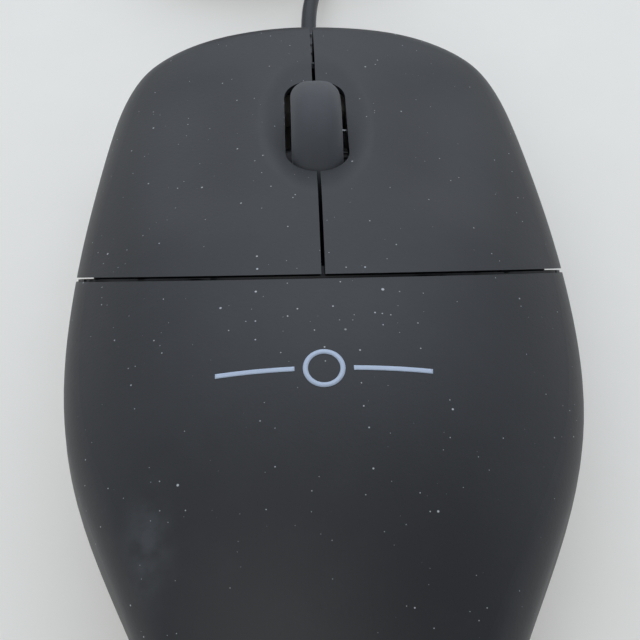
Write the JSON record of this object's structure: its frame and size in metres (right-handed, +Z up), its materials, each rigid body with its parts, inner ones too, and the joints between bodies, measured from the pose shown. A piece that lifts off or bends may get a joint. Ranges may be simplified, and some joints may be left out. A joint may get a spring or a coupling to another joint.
{
  "type": "computer mouse",
  "caption": "Small wired optical mouse with left and right buttons, a clickable scroll wheel, a curved palm cover, a coiled cable and a plug.",
  "frame": {"origin": "on the table under the middle of the mouse, cable left out", "axes": "+X to the right-hand side, +Y towards the cable end, +Z up"},
  "size_m": [0.061, 0.2021, 0.034],
  "materials": {
    "cover_plastic": "fine moulded texture, charcoal black",
    "base_plastic": "moulded, black",
    "steel": "drawn",
    "label_film": "blank silver-grey film",
    "screw_steel": "zinc plated",
    "white_plastic": "moulded, natural white",
    "hub_plastic": "moulded, black",
    "wheel_rubber": "smooth matte rubber",
    "board_laminate": "green solder mask",
    "switch_plastic": "moulded, black",
    "plunger_plastic": "moulded, ivory",
    "chip_plastic": "moulded resin",
    "clear_plastic": "clear polycarbonate",
    "red_plastic": "tinted clear red",
    "capacitor_can": "sleeved can",
    "ceramic_chip": "fired ceramic",
    "wire_sleeve": "coloured sleeves",
    "cable_sheath": "soft matte sheath, black",
    "plug_plastic": "moulded, black",
    "plug_steel": "nickel plated",
    "gold": "gold plated",
    "foot_plastic": "low-friction film, black"
  },
  "bodies": {
    "housing": {"base_shell": "base_plastic", "palm_cover": "cover_plastic", "button_hinge_pin": "steel", "foot_front_left": "foot_plastic", "foot_front_right": "foot_plastic", "foot_rear_left": "foot_plastic", "foot_rear_right": "foot_plastic", "underside_label": "label_film", "case_screw": "screw_steel", "carrier_bracket": "white_plastic", "main_board": "board_laminate", "board_screws": "screw_steel", "left_switch": "switch_plastic", "right_switch": "switch_plastic", "middle_switch": "switch_plastic", "sensor_chip": "chip_plastic", "sensor_lens": "clear_plastic", "illumination_led": "red_plastic", "led_clip": "switch_plastic", "wheel_light_emitter": "clear_plastic", "wheel_light_detector": "chip_plastic", "capacitors": "capacitor_can", "small_components": "ceramic_chip", "board_header": "white_plastic", "wire_connector": "white_plastic", "wires": "wire_sleeve", "strain_relief": "cable_sheath", "cable": "cable_sheath", "cable_coil": "cable_sheath", "cable_tail": "cable_sheath", "plug_grip": "plug_plastic", "plug_shell": "plug_steel", "plug_insert": "white_plastic", "plug_contacts": "gold"},
    "left_button": {"left_button": "cover_plastic"},
    "right_button": {"right_button": "cover_plastic"},
    "wheel_carrier": {"wheel_carrier": "white_plastic", "detent_spring": "steel"},
    "wheel": {"wheel_hub": "hub_plastic", "wheel_tyre": "wheel_rubber"},
    "left_plunger": {"left_switch_plunger": "plunger_plastic"},
    "right_plunger": {"right_switch_plunger": "plunger_plastic"},
    "middle_plunger": {"middle_switch_plunger": "plunger_plastic"}
  },
  "joints": [
    {"name": "left_button_press", "type": "hinge", "parent": "housing", "child": "left_button", "pos_m": [-0.0145, -0.005, 0.0246], "axis": [-1, 0, 0], "range_deg": [0, 0.8], "stiffness_Nm_per_rad": 1.4, "springref_deg": -0.29},
    {"name": "right_button_press", "type": "hinge", "parent": "housing", "child": "right_button", "pos_m": [0.0145, -0.005, 0.0246], "axis": [-1, 0, 0], "range_deg": [0, 0.8], "stiffness_Nm_per_rad": 1.4, "springref_deg": -0.29},
    {"name": "wheel_press", "type": "hinge", "parent": "housing", "child": "wheel_carrier", "pos_m": [0, 0.0412, 0.0145], "axis": [1, 0, 0], "range_deg": [0, 1.5], "stiffness_Nm_per_rad": 0.6, "springref_deg": -0.29},
    {"name": "wheel_spin", "type": "hinge", "parent": "wheel_carrier", "child": "wheel", "pos_m": [0, 0.0262, 0.01996], "axis": [1, 0, 0], "continuous": true},
    {"name": "left_switch_click", "type": "slide", "parent": "housing", "child": "left_plunger", "axis": [0, 0, -1], "range_m": [0, 0.0006]},
    {"name": "right_switch_click", "type": "slide", "parent": "housing", "child": "right_plunger", "axis": [0, 0, -1], "range_m": [0, 0.0006]},
    {"name": "middle_switch_click", "type": "slide", "parent": "housing", "child": "middle_plunger", "axis": [0, 0, -1], "range_m": [0, 0.0008]}
  ],
  "couplings": [
    {"joint": "left_switch_click", "follows": "left_button_press", "m_per_rad": 0.0415},
    {"joint": "right_switch_click", "follows": "right_button_press", "m_per_rad": 0.0415},
    {"joint": "middle_switch_click", "follows": "wheel_press", "m_per_rad": 0.0284}
  ]
}
